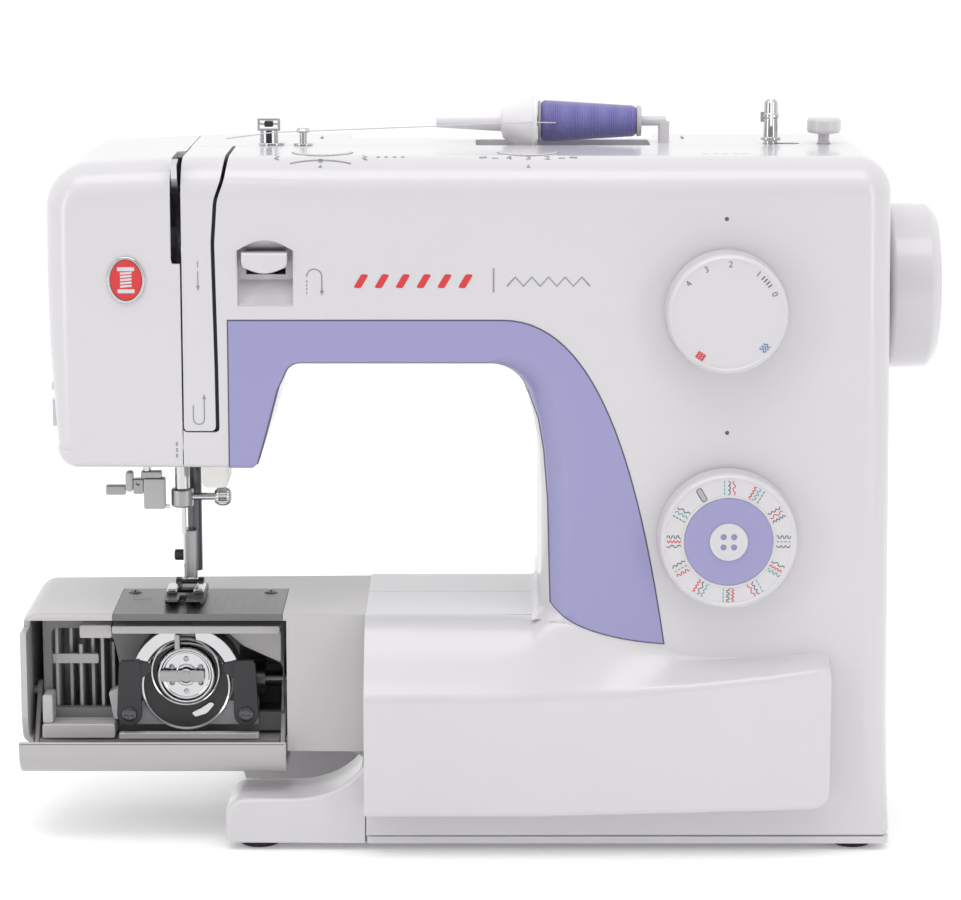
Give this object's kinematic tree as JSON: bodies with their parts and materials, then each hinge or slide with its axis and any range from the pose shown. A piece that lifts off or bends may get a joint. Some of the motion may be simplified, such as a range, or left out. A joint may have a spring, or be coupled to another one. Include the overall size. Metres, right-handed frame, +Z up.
{
  "type": "sewing machine",
  "caption": "Free-arm domestic sewing machine with an open hook compartment, two front dials, a handwheel, and a horizontal thread spool on top.",
  "frame": {"origin": "on the table under the middle of the machine's bounding box", "axes": "+X towards the handwheel, +Y towards the back, +Z up"},
  "size_m": [0.38, 0.152, 0.3048],
  "materials": {
    "white_plastic": "satin",
    "lilac_plastic": "satin",
    "black_plastic": "matte",
    "rubber": "matte",
    "steel": "brushed",
    "cast_metal": "cast",
    "grey_plastic": "satin",
    "lens": "frosted",
    "thread": "wound"
  },
  "bodies": {
    "housing": {"front_shell": "white_plastic", "rear_shell": "white_plastic", "face_cover": "white_plastic", "takeup_cover": "white_plastic", "lilac_trim": "lilac_plastic", "free_arm_shell": "white_plastic", "base_tray": "white_plastic", "front_base_cover": "white_plastic", "rubber_feet": "rubber", "screws": "steel", "frame_casting": "cast_metal", "needle_plate": "steel", "belts": "rubber", "motor": "cast_metal", "hook_race": "cast_metal", "race_cover": "steel", "bobbin_case": "steel", "lamp": "lens", "thread_guides": "steel", "thread_cutter": "white_plastic", "inlet_socket": "black_plastic", "winder_stop": "white_plastic", "presser_spring": "steel", "spool_pin": "white_plastic", "upper_thread": "thread"},
    "upper_drive": {"main_shaft": "steel", "handwheel": "white_plastic", "crank_disc": "cast_metal", "belt_wheels": "black_plastic"},
    "takeup": {"takeup_lever": "steel"},
    "needle_unit": {"needle_bar": "steel", "needle_clamp": "steel", "clamp_screw": "steel", "needle": "steel"},
    "threader": {"needle_threader": "grey_plastic"},
    "presser_unit": {"presser_bar": "steel", "presser_ankle": "steel", "foot_screw": "steel"},
    "foot": {"presser_foot": "steel"},
    "lifter": {"lifter_lever": "white_plastic"},
    "feed_carrier": {"feed_bar": "steel"},
    "feed_teeth": {"feed_dog": "steel"},
    "lower_drive": {"lower_shaft": "steel"},
    "motor_rotor": {"motor_pulley": "steel"},
    "hook": {"shuttle_hook": "steel"},
    "bobbin": {"bobbin": "steel"},
    "latch_left": {"left_latch": "black_plastic"},
    "latch_right": {"right_latch": "black_plastic"},
    "arm_cover": {"hook_cover": "white_plastic"},
    "stitch_selector": {"stitch_dial_knob": "white_plastic"},
    "length_selector": {"length_dial_knob": "white_plastic"},
    "reverse": {"reverse_lever": "white_plastic"},
    "tension": {"tension_dial": "white_plastic"},
    "width": {"width_dial": "white_plastic"},
    "handle": {"carry_handle": "white_plastic"},
    "cap": {"spool_cap": "white_plastic"},
    "spool": {"thread_spool": "thread"},
    "winder_carrier": {"winder_arm": "grey_plastic"},
    "winder": {"winder_spindle": "steel"},
    "switch": {"power_switch": "black_plastic"}
  },
  "joints": [
    {"name": "handwheel_turn", "type": "hinge", "parent": "housing", "child": "upper_drive", "pos_m": [0.19, 0, 0.2251], "axis": [1, 0, 0], "continuous": true},
    {"name": "lower_shaft_turn", "type": "hinge", "parent": "housing", "child": "lower_drive", "pos_m": [0, 0, 0.057], "axis": [1, 0, 0], "continuous": true},
    {"name": "motor_turn", "type": "hinge", "parent": "housing", "child": "motor_rotor", "pos_m": [0.1, 0.034, 0.034], "axis": [1, 0, 0], "continuous": true},
    {"name": "takeup_swing", "type": "hinge", "parent": "housing", "child": "takeup", "pos_m": [-0.122, -0.032, 0.25], "axis": [1, 0, 0], "range_deg": [0, 50]},
    {"name": "needle_bar_stroke", "type": "slide", "parent": "housing", "child": "needle_unit", "axis": [0, 0, 1], "range_m": [-0.028, 0]},
    {"name": "threader_slide", "type": "slide", "parent": "housing", "child": "threader", "axis": [0, 0, 1], "range_m": [-0.022, 0]},
    {"name": "presser_lift", "type": "slide", "parent": "housing", "child": "presser_unit", "axis": [0, 0, 1], "range_m": [0, 0.006], "deforming": ["presser_spring"]},
    {"name": "presser_foot_tilt", "type": "hinge", "parent": "presser_unit", "child": "foot", "pos_m": [-0.1235, -0.01, 0.1012], "axis": [1, 0, 0], "range_deg": [-6, 0]},
    {"name": "lifter_swing", "type": "hinge", "parent": "housing", "child": "lifter", "pos_m": [-0.115, 0.032, 0.17], "axis": [1, 0, 0], "range_deg": [0, 35]},
    {"name": "feed_stroke", "type": "slide", "parent": "housing", "child": "feed_carrier", "axis": [0, 1, 0], "range_m": [-0.002, 0.002]},
    {"name": "feed_lift", "type": "slide", "parent": "feed_carrier", "child": "feed_teeth", "axis": [0, 0, 1], "range_m": [-0.0015, 0]},
    {"name": "hook_swing", "type": "hinge", "parent": "housing", "child": "hook", "pos_m": [-0.1223, -0.034, 0.0685], "axis": [0, 1, 0], "range_deg": [-100, 100]},
    {"name": "bobbin_spin", "type": "hinge", "parent": "housing", "child": "bobbin", "pos_m": [-0.1223, -0.036, 0.0685], "axis": [0, 1, 0], "continuous": true},
    {"name": "left_latch_swing", "type": "hinge", "parent": "housing", "child": "latch_left", "pos_m": [-0.1458, -0.042, 0.0525], "axis": [0, 1, 0], "range_deg": [-60, 0]},
    {"name": "right_latch_swing", "type": "hinge", "parent": "housing", "child": "latch_right", "pos_m": [-0.0976, -0.042, 0.0525], "axis": [0, 1, 0], "range_deg": [0, 28]},
    {"name": "hook_cover_swing", "type": "hinge", "parent": "housing", "child": "arm_cover", "pos_m": [-0.135, -0.02, 0.0572], "axis": [1, 0, 0], "range_deg": [-90, 0]},
    {"name": "stitch_dial_turn", "type": "hinge", "parent": "housing", "child": "stitch_selector", "pos_m": [0.0981, -0.066, 0.1316], "axis": [0, 1, 0], "continuous": true},
    {"name": "length_dial_turn", "type": "hinge", "parent": "housing", "child": "length_selector", "pos_m": [0.0966, -0.066, 0.2234], "axis": [0, 1, 0], "range_deg": [-150, 150]},
    {"name": "reverse_press", "type": "hinge", "parent": "housing", "child": "reverse", "pos_m": [-0.0867, -0.042, 0.244], "axis": [1, 0, 0], "range_deg": [0, 14], "stiffness_Nm_per_rad": 0.25},
    {"name": "tension_dial_turn", "type": "hinge", "parent": "housing", "child": "tension", "pos_m": [0.018, -0.036, 0.282], "axis": [0, 0, 1], "range_deg": [-100, 100]},
    {"name": "width_dial_turn", "type": "hinge", "parent": "housing", "child": "width", "pos_m": [-0.0645, -0.036, 0.282], "axis": [0, 0, 1], "range_deg": [-75, 75]},
    {"name": "carry_handle_fold", "type": "hinge", "parent": "housing", "child": "handle", "pos_m": [0.008, 0.052, 0.279], "axis": [1, 0, 0], "range_deg": [-90, 0]},
    {"name": "spool_cap_slide", "type": "slide", "parent": "housing", "child": "cap", "axis": [1, 0, 0], "range_m": [-0.012, 0]},
    {"name": "spool_spin", "type": "hinge", "parent": "housing", "child": "spool", "pos_m": [0.044, 0.01, 0.2924], "axis": [1, 0, 0], "continuous": true},
    {"name": "winder_shift", "type": "slide", "parent": "housing", "child": "winder_carrier", "axis": [1, 0, 0], "range_m": [0, 0.008]},
    {"name": "winder_spin", "type": "hinge", "parent": "winder_carrier", "child": "winder", "pos_m": [0.119, 0.005, 0.285], "axis": [0, 0, 1], "continuous": true},
    {"name": "power_rocker", "type": "hinge", "parent": "housing", "child": "switch", "pos_m": [0.1595, -0.027, 0.072], "axis": [0, 1, 0], "range_deg": [0, 10]}
  ],
  "couplings": [
    {"joint": "lower_shaft_turn", "follows": "handwheel_turn", "ratio": 1},
    {"joint": "motor_turn", "follows": "handwheel_turn", "ratio": 3},
    {"joint": "lifter_swing", "follows": "presser_lift", "rad_per_m": 101.8}
  ]
}
